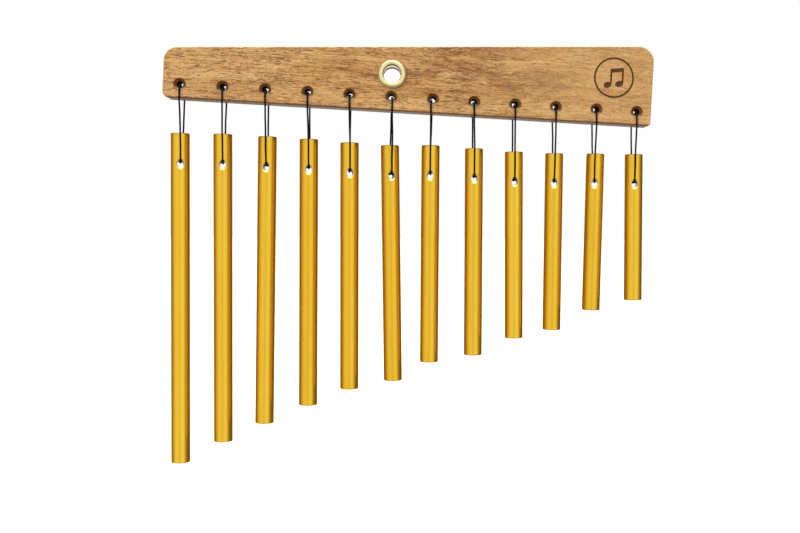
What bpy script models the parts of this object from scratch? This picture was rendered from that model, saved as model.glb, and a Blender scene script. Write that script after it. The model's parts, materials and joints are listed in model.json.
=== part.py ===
"""Bar chime rack: twelve round metal bars of falling length, each hung on a cord loop under a
wedge-shaped wooden rail, with a brass eyelet in the rail to hang the whole instrument from.

The origin is the centre of the eyelet's bore, at the middle of the rail's thickness. +X runs along
the rail towards the shortest bar, +Y goes away from the player and +Z is up. Units are metres.
"""

import math

import bmesh
import bpy

# Rail: a board whose lower edge is straight and whose upper edge rises towards the short bars.
RAIL_LENGTH = 0.254
RAIL_THICKNESS = 0.012
RAIL_HEIGHT_AT_LONG_BARS = 0.02575
RAIL_HEIGHT_AT_SHORT_BARS = 0.04225
RAIL_TOP_RADII = (0.007, 0.008)  # upper corners, long-bar end and short-bar end
RAIL_BOTTOM_RADII = (0.0035, 0.0019)  # lower corners, in the same order
RAIL_EDGE_ROUND = 0.0008
RAIL_HANG_DEG = 2.45  # the rail hangs with its short-bar end this much lower

# Holes of the rail, which lie in a row along its lower edge.
BAR_COUNT = 12
HOLE_PITCH = 0.0216
FIRST_HOLE_FROM_END = 0.0086
HOLE_ABOVE_EDGE = 0.0072
RAIL_BORE_RADIUS = 0.0015
RAIL_SINK_RADIUS = 0.003
RAIL_SINK_DEPTH = 0.0015

# Eyelet, pressed through the rail above the sixth hole and closed over a washer behind it.
EYELET_HOLE_NUMBER = 6
EYELET_ABOVE_HOLES = 0.01185
EYELET_BESIDE_HOLE = 0.0002  # along the rail, so that the hole hangs nearly straight below the eyelet
EYELET_BORE_RADIUS = 0.0046
EYELET_WALL = 0.0005
EYELET_FLANGE_RADIUS = 0.0076
EYELET_FLANGE_HEIGHT = 0.0013
EYELET_FLANGE_RIM = 0.0006  # height of its outer edge, which leans in by EYELET_FLANGE_LEAN
EYELET_FLANGE_LEAN = 0.0003
EYELET_LIP = (0.0005, 0.0003)  # out from the bore and down from the crest, where the dome turns in
EYELET_THROAT = 0.0009  # down from the crest, where the dome meets the bore
EYELET_ROLL_RADIUS = 0.0064
EYELET_ROLL_HEIGHT = 0.0008
WASHER_RADIUS = 0.0074
WASHER_THICKNESS = 0.0007

# Bars, from the longest to the shortest. Each is cut to its note.
BAR_RADIUS = 0.00475
BAR_END_ROUND = 0.0004
BAR_LENGTHS = (
    0.1715, 0.1605, 0.1500, 0.1395, 0.1295, 0.1240,
    0.1145, 0.1095, 0.0990, 0.0940, 0.0835, 0.0780,
)
BAR_HOLE_BELOW_TOP = 0.016
BAR_BORE_RADIUS = 0.00165
BAR_SINK_RADIUS = 0.00265
BAR_SINK_DEPTH = 0.0006

# Hang of each bar. The loops are tied by hand, so they differ a little in length and in how they lie.
BAR_DROPS = (
    0.0407, 0.0399, 0.0399, 0.0400, 0.0406, 0.0408,
    0.0396, 0.0400, 0.0405, 0.0401, 0.0391, 0.0382,
)  # from the rail's hole down to the bar's hole
LOOP_SWAY_DEG = (1.4, 1.2, -0.5, -0.4, 0.2, 0.6, 1.3, -0.8, -0.4, -0.2, -0.8, -0.2)
BAR_LEAN_DEG = (0.1, 0.0, 0.6, 0.1, -0.1, -1.0, 0.1, -0.1, -0.5, 0.3, 1.0, -0.4)
BAR_TWIST_DEG = (12.5, 7, 0, 3.5, 5.5, 9.5, -3.5, 0, 0, -5, -10.5, -5)  # about its length, and so its hole

# Cord of the loops. It lies GAP clear of everything that it passes.
CORD_RADIUS = 0.00045
GAP = 0.0003
RAIL_BEND_RADIUS = 0.0022
BAR_BEND_RADIUS = 0.0018
KNOT_BELOW_HOLE = 0.005
KNOT_HALF_SIZE = (0.0013, 0.0013, 0.0015)

TURN_STEPS = 24
DRILL_STEPS = 20
ARC_STEPS = 4
CUT_MARGIN = 0.002

WOOD = ("beech_wood", (0.55, 0.29, 0.11), 0.45, 0.0)
BRASS = ("eyelet_brass", (0.86, 0.76, 0.45), 0.25, 1.0)
GOLD = ("gold_anodised_metal", (0.83, 0.55, 0.12), 0.3, 1.0)
CORD = ("black_cord", (0.02, 0.018, 0.016), 0.8, 0.0)


def clear_scene():
    for old in list(bpy.data.objects):
        bpy.data.objects.remove(old, do_unlink=True)
    for old in list(bpy.data.collections):
        bpy.data.collections.remove(old)


def new_collection(name):
    made = bpy.data.collections.new(name)
    bpy.context.scene.collection.children.link(made)
    return made


clear_scene()
PARTS = new_collection("bar_chime_rack")
CUTTERS = new_collection("cutters")
RAIL_CUTTERS = bpy.data.collections.new("rail_cutters")
CUTTERS.children.link(RAIL_CUTTERS)


def material(look):
    name, color, roughness, metallic = look
    made = bpy.data.materials.get(name)
    if made:
        return made
    made = bpy.data.materials.new(name)
    made.use_nodes = True
    shader = made.node_tree.nodes["Principled BSDF"]
    shader.inputs["Base Color"].default_value = (*color, 1.0)
    shader.inputs["Roughness"].default_value = roughness
    shader.inputs["Metallic"].default_value = metallic
    return made


def place(obj, parent=None, at=(0, 0, 0), turned_deg=(0, 0, 0), collection=PARTS):
    collection.objects.link(obj)
    obj.parent = parent
    obj.location = at
    obj.rotation_euler = [math.radians(angle) for angle in turned_deg]
    return obj


def pivot(name, parent=None, at=(0, 0, 0), turned_deg=(0, 0, 0)):
    """An empty on a joint's axis, which carries the pieces that move with it."""
    return place(bpy.data.objects.new(name, None), parent, at, turned_deg)


def shade_round(mesh, sharp_deg=35):
    mesh.shade_smooth()
    mesh.set_sharp_from_angle(angle=math.radians(sharp_deg))


def turned_object(name, profile, steps, closed_profile=False):
    """A body turned about local Z. The profile holds (radius, height) from the top down its outside."""
    mesh = bpy.data.meshes.new(name)
    points = [(radius, 0.0, height) for radius, height in profile]
    edges = [(i, i + 1) for i in range(len(points) - 1)]
    if closed_profile:
        edges.append((len(points) - 1, 0))
    mesh.from_pydata(points, edges, [])
    obj = bpy.data.objects.new(name, mesh)
    screw = obj.modifiers.new("turn", "SCREW")
    screw.angle = math.tau
    screw.steps = steps
    screw.render_steps = steps
    screw.use_merge_vertices = True
    screw.merge_threshold = 0.00001
    screw.use_smooth_shade = True
    return obj


def arc(centre, radius, start_deg, end_deg, steps=ARC_STEPS):
    """Points on a circle in a plane, both ends included."""
    points = []
    for i in range(steps + 1):
        angle = math.radians(start_deg + (end_deg - start_deg) * i / steps)
        points.append((centre[0] + radius * math.cos(angle), centre[1] + radius * math.sin(angle)))
    return points


def drill_profile(bore_radius, sink_radius, sink_depth, half_width):
    """Half the outline of a through drill with a countersink at each end."""
    reach = half_width + CUT_MARGIN
    far_radius = sink_radius + CUT_MARGIN * (sink_radius - bore_radius) / sink_depth
    return [
        (0.0, reach),
        (far_radius, reach),
        (bore_radius, half_width - sink_depth),
        (bore_radius, sink_depth - half_width),
        (far_radius, -reach),
        (0.0, -reach),
    ]


def cutter(name, profile, steps, parent, at, collection=CUTTERS, twist_deg=0):
    """A turned cutter whose axis lies along the parent's Y, twisted about its Z."""
    obj = turned_object(name, profile, steps)
    obj.hide_render = True
    obj.display_type = "WIRE"
    return place(obj, parent, at, (90, 0, twist_deg), collection)


def tube(name, route, parent):
    """A round cord along points in its parent's frame."""
    curve = bpy.data.curves.new(name, "CURVE")
    curve.dimensions = "3D"
    curve.bevel_depth = CORD_RADIUS
    curve.bevel_resolution = 2
    curve.use_fill_caps = True
    spline = curve.splines.new("POLY")
    spline.points.add(len(route) - 1)
    for point, at in zip(spline.points, route):
        point.co = (*at, 1.0)
    curve.materials.append(material(CORD))
    return place(bpy.data.objects.new(name, curve), parent)


def hole_in_rail(number):
    """(along, up) of a bar's hole in the rail's own frame, whose origin is the eyelet."""
    return EYELET_BESIDE_HOLE + (number - EYELET_HOLE_NUMBER) * HOLE_PITCH, -EYELET_ABOVE_HOLES


def rounded_outline():
    """The rail's outline in its own frame, anticlockwise, with an arc at each corner."""
    left = hole_in_rail(1)[0] - FIRST_HOLE_FROM_END
    right = left + RAIL_LENGTH
    bottom = -EYELET_ABOVE_HOLES - HOLE_ABOVE_EDGE
    corners = [
        (left, bottom, RAIL_BOTTOM_RADII[0]),
        (right, bottom, RAIL_BOTTOM_RADII[1]),
        (right, bottom + RAIL_HEIGHT_AT_SHORT_BARS, RAIL_TOP_RADII[1]),
        (left, bottom + RAIL_HEIGHT_AT_LONG_BARS, RAIL_TOP_RADII[0]),
    ]
    outline = []
    for i, (x, z, radius) in enumerate(corners):
        before = corners[i - 1]
        after = corners[(i + 1) % len(corners)]
        heading_in = math.atan2(z - before[1], x - before[0])
        heading_out = math.atan2(after[1] - z, after[0] - x)
        turn = (heading_out - heading_in) % math.tau
        setback = radius * math.tan(turn / 2)
        start = (x - setback * math.cos(heading_in), z - setback * math.sin(heading_in))
        centre = (start[0] - radius * math.sin(heading_in), start[1] + radius * math.cos(heading_in))
        first_deg = math.degrees(heading_in) - 90
        outline += arc(centre, radius, first_deg, first_deg + math.degrees(turn), 6)
    return outline


def flat_solid(name, outline, thickness):
    """A flat board from an outline, as one closed mesh that stands in the XZ plane."""
    curve = bpy.data.curves.new(name, "CURVE")
    curve.dimensions = "2D"
    curve.fill_mode = "BOTH"
    curve.extrude = thickness / 2
    spline = curve.splines.new("POLY")
    spline.points.add(len(outline) - 1)
    for point, (x, y) in zip(spline.points, outline):
        point.co = (x, y, 0.0, 1.0)
    spline.use_cyclic_u = True
    guide = bpy.data.objects.new(name + "_outline", curve)
    place(guide, turned_deg=(90, 0, 0))
    bpy.context.view_layer.update()
    graph = bpy.context.evaluated_depsgraph_get()
    mesh = bpy.data.meshes.new_from_object(guide.evaluated_get(graph))
    mesh.transform(guide.matrix_world)
    bpy.data.objects.remove(guide)
    welded = bmesh.new()
    welded.from_mesh(mesh)
    bmesh.ops.remove_doubles(welded, verts=welded.verts, dist=0.00001)
    bmesh.ops.recalc_face_normals(welded, faces=welded.faces)
    welded.to_mesh(mesh)
    welded.free()
    return bpy.data.objects.new(name, mesh)


def make_rail(rail_frame):
    rail = flat_solid("rail", rounded_outline(), RAIL_THICKNESS)
    rail.data.materials.clear()
    rail.data.materials.append(material(WOOD))
    soften = rail.modifiers.new("soft_edges", "BEVEL")
    soften.width = RAIL_EDGE_ROUND
    soften.segments = 2
    soften.limit_method = "ANGLE"
    soften.angle_limit = math.radians(50)
    place(rail, rail_frame)
    half = RAIL_THICKNESS / 2
    drill = drill_profile(RAIL_BORE_RADIUS, RAIL_SINK_RADIUS, RAIL_SINK_DEPTH, half)
    for number in range(1, BAR_COUNT + 1):
        along, up = hole_in_rail(number)
        name = f"rail_drill_{number:02d}"
        cutter(name, drill, DRILL_STEPS, rail_frame, (along, 0, up), RAIL_CUTTERS)
    radius = EYELET_BORE_RADIUS + EYELET_WALL + GAP
    reach = half + CUT_MARGIN
    punch = [(0.0, reach), (radius, reach), (radius, -reach), (0.0, -reach)]
    cutter("eyelet_drill", punch, TURN_STEPS, rail_frame, (0, 0, 0), RAIL_CUTTERS)
    holes = rail.modifiers.new("holes", "BOOLEAN")
    holes.operand_type = "COLLECTION"
    holes.collection = RAIL_CUTTERS
    holes.solver = "EXACT"


def make_eyelet(rail_frame):
    """The eyelet's front flange is a dome that rolls into its bore, and its back end rolls outwards."""
    face = RAIL_THICKNESS / 2 + GAP
    bore = EYELET_BORE_RADIUS
    outside = bore + EYELET_WALL
    crest = (bore + EYELET_FLANGE_RADIUS) / 2
    front = face + EYELET_FLANGE_HEIGHT
    back = -face - WASHER_THICKNESS - GAP
    profile = [
        (bore + EYELET_LIP[0], front - EYELET_LIP[1]),
        (crest, front),
        (EYELET_FLANGE_RADIUS - EYELET_FLANGE_LEAN, face + EYELET_FLANGE_RIM),
        (EYELET_FLANGE_RADIUS, face),
        (outside, face),
        (outside, back),
        (EYELET_ROLL_RADIUS, back),
        (EYELET_ROLL_RADIUS, back - EYELET_ROLL_HEIGHT / 2),
        (outside, back - EYELET_ROLL_HEIGHT),
        (bore, back - EYELET_ROLL_HEIGHT / 2),
        (bore, front - EYELET_THROAT),
    ]
    eyelet = turned_object("eyelet", profile, TURN_STEPS, closed_profile=True)
    eyelet.data.materials.append(material(BRASS))
    place(eyelet, rail_frame, turned_deg=(90, 0, 0))

    near = -face
    far = near - WASHER_THICKNESS
    inner = outside + GAP
    ring = [(inner, near), (WASHER_RADIUS, near), (WASHER_RADIUS, far), (inner, far)]
    washer = turned_object("eyelet_washer", ring, TURN_STEPS, closed_profile=True)
    washer.data.materials.append(material(BRASS))
    place(washer, rail_frame, turned_deg=(90, 0, 0))


def turned_about_z(points, angle_deg):
    """(y, z) points of the YZ plane as points in space, turned about Z."""
    angle = math.radians(angle_deg)
    return [(-y * math.sin(angle), y * math.cos(angle), z) for y, z in points]


def upper_route():
    """From behind the rail over the lip of its hole, through the bore and down its front face."""
    strand = RAIL_THICKNESS / 2 + GAP + CORD_RADIUS
    in_bore = -(RAIL_BORE_RADIUS - CORD_RADIUS - GAP)
    turn = (strand - RAIL_BEND_RADIUS, in_bore - RAIL_BEND_RADIUS)
    knot_top = -KNOT_BELOW_HOLE + KNOT_HALF_SIZE[2]
    route = [(strand, knot_top + GAP)]
    route += arc(turn, RAIL_BEND_RADIUS, 0, 90)
    route += arc((-turn[0], turn[1]), RAIL_BEND_RADIUS, 90, 180)
    route.append((-strand, -HOLE_ABOVE_EDGE - GAP))
    return turned_about_z(route, 0)


def lower_route(drop, twist):
    """From the rail's lower edge down the front, through the bar and up behind it to the knot.
    The cord goes through the bar along its hole, which is twisted from square to the rail."""
    at_rail = RAIL_THICKNESS / 2 + GAP + CORD_RADIUS
    at_bar = BAR_RADIUS + GAP + CORD_RADIUS
    in_bore = -drop + BAR_BORE_RADIUS - CORD_RADIUS - GAP
    turn = (at_bar - BAR_BEND_RADIUS, in_bore + BAR_BEND_RADIUS)
    knot_bottom = -KNOT_BELOW_HOLE - KNOT_HALF_SIZE[2]
    through_bar = arc((-turn[0], turn[1]), BAR_BEND_RADIUS, 180, 270)
    through_bar += arc(turn, BAR_BEND_RADIUS, 270, 360)
    route = [(0.0, -at_rail, -HOLE_ABOVE_EDGE - 2 * GAP)]
    route += turned_about_z(through_bar, twist)
    route.append((0.0, at_rail, knot_bottom - GAP))
    return route


def make_knot(number, loop_frame):
    bpy.ops.mesh.primitive_uv_sphere_add(segments=10, ring_count=6, radius=1.0)
    knot = bpy.context.object
    bpy.context.collection.objects.unlink(knot)
    knot.name = f"knot_{number:02d}"
    for vertex in knot.data.vertices:
        vertex.co = [value * half for value, half in zip(vertex.co, KNOT_HALF_SIZE)]
    shade_round(knot.data, 80)
    knot.data.materials.append(material(CORD))
    behind = RAIL_THICKNESS / 2 + GAP + KNOT_HALF_SIZE[1]
    place(knot, loop_frame, (0, behind, -KNOT_BELOW_HOLE))


def make_bar(number, length, drop, loop_frame):
    """The bar's pivot is the cord in its hole, and the bar hangs from it."""
    cord_in_hole = BAR_BORE_RADIUS - CORD_RADIUS - GAP
    lean = BAR_LEAN_DEG[number - 1] - LOOP_SWAY_DEG[number - 1]
    twist = BAR_TWIST_DEG[number - 1]
    frame = pivot(f"bar_{number:02d}_pivot", loop_frame, (0, 0, cord_in_hole - drop), (0, lean, 0))
    top = BAR_HOLE_BELOW_TOP
    bottom = top - length
    shoulder = BAR_RADIUS - BAR_END_ROUND
    profile = [(0.0, top)]
    profile += arc((shoulder, top - BAR_END_ROUND), BAR_END_ROUND, 90, 0, 2)
    profile += arc((shoulder, bottom + BAR_END_ROUND), BAR_END_ROUND, 0, -90, 2)
    profile.append((0.0, bottom))
    bar = turned_object(f"bar_{number:02d}", profile, TURN_STEPS)
    bar.data.materials.append(material(GOLD))
    place(bar, frame, (0, 0, -cord_in_hole), (0, 0, twist))
    drill = drill_profile(BAR_BORE_RADIUS, BAR_SINK_RADIUS, BAR_SINK_DEPTH, BAR_RADIUS)
    name = f"bar_drill_{number:02d}"
    hole = bar.modifiers.new("hole", "BOOLEAN")
    hole.object = cutter(name, drill, DRILL_STEPS, frame, (0, 0, -cord_in_hole), twist_deg=twist)
    hole.solver = "EXACT"


def make_hanging_bar(number, rail_frame):
    """A bar on its loop. The loop frame is level with the world, apart from how the loop lies."""
    along, up = hole_in_rail(number)
    sway = LOOP_SWAY_DEG[number - 1] - RAIL_HANG_DEG
    loop_frame = pivot(f"loop_{number:02d}_pivot", rail_frame, (along, 0, up), (0, sway, 0))
    drop = BAR_DROPS[number - 1]
    tube(f"cord_top_{number:02d}", upper_route(), loop_frame)
    tube(f"cord_loop_{number:02d}", lower_route(drop, BAR_TWIST_DEG[number - 1]), loop_frame)
    make_knot(number, loop_frame)
    make_bar(number, BAR_LENGTHS[number - 1], drop, loop_frame)


def main():
    rail_frame = pivot("rail_frame", turned_deg=(0, RAIL_HANG_DEG, 0))
    make_rail(rail_frame)
    make_eyelet(rail_frame)
    for number in range(1, BAR_COUNT + 1):
        make_hanging_bar(number, rail_frame)


main()
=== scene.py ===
"""Looks of the bar chime rack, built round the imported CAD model.

Twelve gold bars hang on loops of twisted black cord under a wooden rail with a brass eyelet.
Everything is in the CAD's frame, in metres: X runs along the rail towards the shortest bar, +Y goes
away from the player, +Z is up, and the origin is the centre of the eyelet's bore.
"""

import json
import math

import bmesh
import bpy
import numpy as np
from mathutils import Matrix, Vector


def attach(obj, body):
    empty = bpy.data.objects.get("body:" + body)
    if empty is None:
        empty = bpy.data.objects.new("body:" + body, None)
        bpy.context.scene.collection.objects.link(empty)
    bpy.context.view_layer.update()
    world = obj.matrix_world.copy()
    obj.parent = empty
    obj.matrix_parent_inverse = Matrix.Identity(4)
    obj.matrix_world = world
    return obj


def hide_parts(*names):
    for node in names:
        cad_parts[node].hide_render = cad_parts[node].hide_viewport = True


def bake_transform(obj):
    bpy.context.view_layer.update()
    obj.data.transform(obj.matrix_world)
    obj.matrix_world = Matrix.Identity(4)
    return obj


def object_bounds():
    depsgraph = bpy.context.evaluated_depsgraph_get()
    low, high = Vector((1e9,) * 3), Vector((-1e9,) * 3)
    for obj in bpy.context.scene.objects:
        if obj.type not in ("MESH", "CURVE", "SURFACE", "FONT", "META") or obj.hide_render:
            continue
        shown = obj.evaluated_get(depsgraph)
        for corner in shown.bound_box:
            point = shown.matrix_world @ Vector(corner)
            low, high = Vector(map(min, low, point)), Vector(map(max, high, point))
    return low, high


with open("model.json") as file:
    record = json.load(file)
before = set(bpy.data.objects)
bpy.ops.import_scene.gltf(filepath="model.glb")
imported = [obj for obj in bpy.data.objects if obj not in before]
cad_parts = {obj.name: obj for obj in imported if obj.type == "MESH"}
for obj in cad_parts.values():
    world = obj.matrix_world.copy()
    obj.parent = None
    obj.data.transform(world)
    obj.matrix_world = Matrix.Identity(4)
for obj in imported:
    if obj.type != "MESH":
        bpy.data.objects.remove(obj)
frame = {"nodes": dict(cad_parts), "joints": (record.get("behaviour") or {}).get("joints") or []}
CAD_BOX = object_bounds()
MM = 0.001

# ---------------------------------------------------------------- what part.py says, repeated
RAIL_LENGTH = 254 * MM
RAIL_HALF = 6 * MM  # half the board's thickness
RAIL_HEIGHTS = (25.75 * MM, 42.25 * MM)  # at the long-bar end and at the short-bar end
RAIL_TOP_RADII = (7 * MM, 8 * MM)
RAIL_BOTTOM_RADII = (3.5 * MM, 1.9 * MM)
FIRST_HOLE_FROM_END = 8.6 * MM
RAIL_EDGE_ROUND = 0.8 * MM
RAIL_BORE = 1.5 * MM
RAIL_SINK = 3 * MM
RAIL_SINK_DEPTH = 1.5 * MM
HOLE_ABOVE_EDGE = 7.2 * MM
BAR_COUNT = 12
BAR_BORE = 1.65 * MM
BAR_SINK = 2.65 * MM
BAR_SINK_DEPTH = 0.6 * MM
BAR_HOLE_BELOW_TOP = 16 * MM
BAR_END_ROUND = 0.4 * MM
CORD_ABOVE_HOLE_AXIS = 0.9 * MM  # the bar's pivot over the middle of its hole
EYELET_BORE = 4.6 * MM
EYELET_OUTSIDE = 5.1 * MM
EYELET_DOME = 7.1 * MM  # the dome's foot, on a thin flange that ends just inside the CAD's
EYELET_FLANGE = 7.45 * MM
EYELET_CREST = 7.6 * MM  # the front of its dome, from the middle of the board
EYELET_ROLL = 6.4 * MM
WASHER_OUTSIDE = 7.4 * MM
WASHER_THICKNESS = 0.7 * MM

# ---------------------------------------------------------------- the cord as it lies
PLY_CREST = 0.49 * MM  # the plies stand out a little beyond the cord's mean radius
RAIL_BEND = 2.2 * MM
BAR_BEND = 1.8 * MM
FRONT_AT_RAIL = 6.6 * MM  # from the middle of the board to the strand in front of it
BACK_AT_RAIL = 7.25 * MM  # the knot holds the strand behind it a little further out
STRAND_AT_BAR = 5.3 * MM
IN_RAIL_BORE = -0.95 * MM  # the cord bears on the bottom of the rail's bore
IN_BAR_BORE = 1 * MM  # and on the top of the bar's
RAIL_LIP = (RAIL_SINK_DEPTH - RAIL_HALF, IN_RAIL_BORE)  # where it enters that bore, back and up
KNOT_CENTRE = -5.1 * MM
STRAND_WANDER = 0.14 * MM
PLY_PITCH = 2.1 * MM
PLIES = 3
PLY_VALLEY = 0.24
ROUTE_STEP = 0.25 * MM
KNOT_STEP = 0.16 * MM
SPREAD_AT_RAIL, SPREAD_AT_BAR = 1.15, 0.65  # how much wider the cord lies where it enters a hole
BUNCHED_AT_RAIL = 0.7  # how much thicker it lies in the rail's bore, behind the front lip
RISE_AT_RAIL = 0.34 * MM  # and how much higher its middle lies for that
BEND_REACH = 1.1 * MM
STRAND_ASIDE = {6: 0.5 * MM, 7: -0.9 * MM}  # where a front strand leaves its rail hole off the middle

JOINTS = {joint["name"]: joint for joint in frame["joints"]}


def joint_at(name):
    return Vector(JOINTS[name]["pos_m"])


FIRST_HOLE = joint_at("cord_01_sway")
LAST_HOLE = joint_at(f"cord_{BAR_COUNT:02d}_sway")
HOLE_PITCH = (LAST_HOLE - FIRST_HOLE).length / (BAR_COUNT - 1)
RAIL_TURN = math.atan2(FIRST_HOLE.z - LAST_HOLE.z, LAST_HOLE.x - FIRST_HOLE.x)
RAIL_MATRIX = Matrix.Rotation(RAIL_TURN, 4, "Y")
FIRST_HOLE_IN_RAIL = RAIL_MATRIX.inverted() @ FIRST_HOLE
RAIL_LEFT = FIRST_HOLE_IN_RAIL.x - FIRST_HOLE_FROM_END
RAIL_BOTTOM = FIRST_HOLE_IN_RAIL.z - HOLE_ABOVE_EDGE
NUMBERS = range(1, BAR_COUNT + 1)


def hole_in_rail(number):
    """The middle of a hole, in the rail's own frame."""
    return Vector((FIRST_HOLE_IN_RAIL.x + (number - 1) * HOLE_PITCH, 0, FIRST_HOLE_IN_RAIL.z))


def loop_matrix(number):
    """The frame of a loop: its origin is the rail's hole, and its Z runs up the two strands."""
    axis = Vector(JOINTS[f"cord_{number:02d}_swing"]["axis"])
    sway = math.atan2(-axis.z, axis.x)
    return Matrix.Translation(joint_at(f"cord_{number:02d}_sway")) @ Matrix.Rotation(sway, 4, "Y")


def twist_of(number):
    """How far a bar's hole is turned about the bar's length from square to the rail."""
    axis = loop_matrix(number).to_3x3().inverted() @ Vector(JOINTS[f"bar_{number:02d}_tilt"]["axis"])
    return math.atan2(-axis.x, axis.y)


def drop_of(number):
    """From the rail's hole down to the middle of the bar's hole."""
    hung = joint_at(f"bar_{number:02d}_tilt") - joint_at(f"cord_{number:02d}_sway")
    return hung.length + CORD_ABOVE_HOLE_AXIS


# ---------------------------------------------------------------- camera
CAMERA_AT = (0.004845, -0.5586, -0.076738)
CAMERA_YAW_DEG = 4.541  # to the right
CAMERA_PITCH_DEG = 2.384  # down
CAMERA_ROLL_DEG = 0.491
CAMERA_LENS_MM = 47.4
CAMERA_SENSOR_MM = 36
CAMERA_CLIP = (0.01, 50)
CAMERA_SHIFT_X = -0.105  # the photograph's middle lies left of the lens axis


def make_camera():
    yaw, pitch, roll = map(math.radians, (CAMERA_YAW_DEG, CAMERA_PITCH_DEG, CAMERA_ROLL_DEG))
    ahead = Vector((math.sin(yaw) * math.cos(pitch), math.cos(yaw) * math.cos(pitch), -math.sin(pitch)))
    level = Vector((math.cos(yaw), -math.sin(yaw), 0))
    up = level.cross(ahead)
    across = math.cos(roll) * level + math.sin(roll) * up
    upward = -math.sin(roll) * level + math.cos(roll) * up
    data = bpy.data.cameras.new("photo_camera")
    data.lens = CAMERA_LENS_MM
    data.sensor_width = CAMERA_SENSOR_MM
    data.shift_x = CAMERA_SHIFT_X
    data.clip_start, data.clip_end = CAMERA_CLIP
    turned = Matrix((across, upward, -ahead)).transposed().to_4x4()
    bpy.context.scene.camera = linked("photo_camera", data, Matrix.Translation(CAMERA_AT) @ turned)


# ---------------------------------------------------------------- node trees
class Tree:
    """Short names for the shader nodes that the materials use."""

    def __init__(self, tree):
        self.tree = tree

    def node(self, kind, **settings):
        made = self.tree.nodes.new("ShaderNode" + kind)
        for key, value in settings.items():
            setattr(made, key, value)
        return made

    def feed(self, socket, value):
        if isinstance(value, bpy.types.NodeSocket):
            self.tree.links.new(value, socket)
        elif value is not None:
            wide = isinstance(value, tuple) and len(value) == 3 and socket.type == "RGBA"
            socket.default_value = (*value, 1.0) if wide else value

    def math(self, operation, a, b=None):
        made = self.node("Math", operation=operation)
        for socket, value in zip(made.inputs, (a, b)):
            self.feed(socket, value)
        return made.outputs[0]

    def add(self, a, b):
        return self.math("ADD", a, b)

    def minus(self, a, b):
        return self.math("SUBTRACT", a, b)

    def times(self, a, b):
        return self.math("MULTIPLY", a, b)

    def larger(self, a, b):
        return self.math("MAXIMUM", a, b)

    def vector(self, operation, a, b=None, scale=None):
        made = self.node("VectorMath", operation=operation)
        self.feed(made.inputs[0], a)
        if b is not None:
            self.feed(made.inputs[1], b)
        if scale is not None:
            made.inputs["Scale"].default_value = scale
        return made.outputs["Value" if operation in ("LENGTH", "DOT_PRODUCT") else "Vector"]

    def xyz(self, x, y, z):
        made = self.node("CombineXYZ")
        for socket, value in zip(made.inputs, (x, y, z)):
            self.feed(socket, value)
        return made.outputs[0]

    def length(self, x, y, z):
        return self.vector("LENGTH", self.xyz(x, y, z))

    def split(self, vector):
        made = self.node("SeparateXYZ")
        self.feed(made.inputs[0], vector)
        return made.outputs

    def noise(self, at, scale, detail, rough):
        made = self.node("TexNoise", noise_dimensions="3D")
        for name, value in zip(("Vector", "Scale", "Detail", "Roughness"), (at, scale, detail, rough)):
            self.feed(made.inputs[name], value)
        return made.outputs["Fac"]

    def stretched(self, axes, scales, detail, rough):
        """Noise with a scale of its own along each of two or three axes."""
        scaled = [self.times(axis, scale) for axis, scale in zip(axes, scales)]
        return self.noise(self.xyz(*scaled, *[0.0] * (3 - len(scaled))), 1.0, detail, rough)

    def soft_step(self, value, low, high, bottom=0.0, top=1.0):
        made = self.node("MapRange", interpolation_type="SMOOTHSTEP")
        for socket, fed in zip(made.inputs[:5], (value, low, high, bottom, top)):
            self.feed(socket, fed)
        return made.outputs[0]

    def mix(self, share, a, b):
        made = self.node("Mix", data_type="RGBA")
        self.feed(made.inputs["Factor"], share)
        self.feed(made.inputs[6], a)
        self.feed(made.inputs[7], b)
        return made.outputs[2]

    def ramp(self, share, stops):
        """A colour, or a grey from a number, by straight steps between the stops."""
        made = self.node("ValToRGB")
        elements = made.color_ramp.elements
        while len(elements) < len(stops):
            elements.new(0.5)
        for element, (position, color) in zip(elements, stops):
            element.position = position
            element.color = (*color, 1.0) if isinstance(color, tuple) else (color,) * 3 + (1.0,)
        self.feed(made.inputs[0], share)
        return made.outputs[0]

    def bump(self, height, distance, strength=1.0, under=None):
        made = self.node("Bump")
        made.inputs["Strength"].default_value = strength
        made.inputs["Distance"].default_value = distance
        self.feed(made.inputs["Height"], height)
        self.feed(made.inputs["Normal"], under)
        return made.outputs[0]


def new_material(name):
    """(material, its node tree, a function that feeds one of its shader's sockets)."""
    made = bpy.data.materials.new(name)
    made.use_nodes = True
    tree = Tree(made.node_tree)
    sockets = made.node_tree.nodes["Principled BSDF"].inputs
    return made, tree, lambda socket, value: tree.feed(sockets[socket], value)


def in_mm(tree):
    """A piece's own coordinates, in millimetres."""
    return tree.vector("SCALE", tree.node("TexCoord").outputs["Object"], scale=1 / MM)


def in_rail_mm(tree):
    """A point in the rail's own frame, in millimetres. The rail's mesh is in world coordinates."""
    at = in_mm(tree)
    axes = RAIL_MATRIX.to_3x3().transposed()
    return tree.xyz(*[tree.vector("DOT_PRODUCT", at, tuple(axis)) for axis in axes])


# ---------------------------------------------------------------- wood
MARK_CENTRE = (116.6 * MM, 5.25 * MM)  # along and up, in the rail's own frame
MARK_RING = 10.2 * MM
MARK_LINE = 0.85 * MM
MARK_DEPTH = 0.3 * MM
MARK_NARROWS = 0.94  # the size of a burned shape's floor, against its outline

BORE_SLOT, BURNT_SLOT = 1, 2  # places of the drilled and the burned material on a piece
CUTTER_REACH = 1 * MM  # how far a cutter stands out of the face that it cuts
EYELET_HOLE_GAP = 0.05 * MM
RAIL_DRILL_STEPS, PUNCH_STEPS, RING_STEPS = 40, 64, 96
FACING = Matrix.Rotation(math.pi / 2, 4, "X")  # turns a body's local Z towards the player

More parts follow.
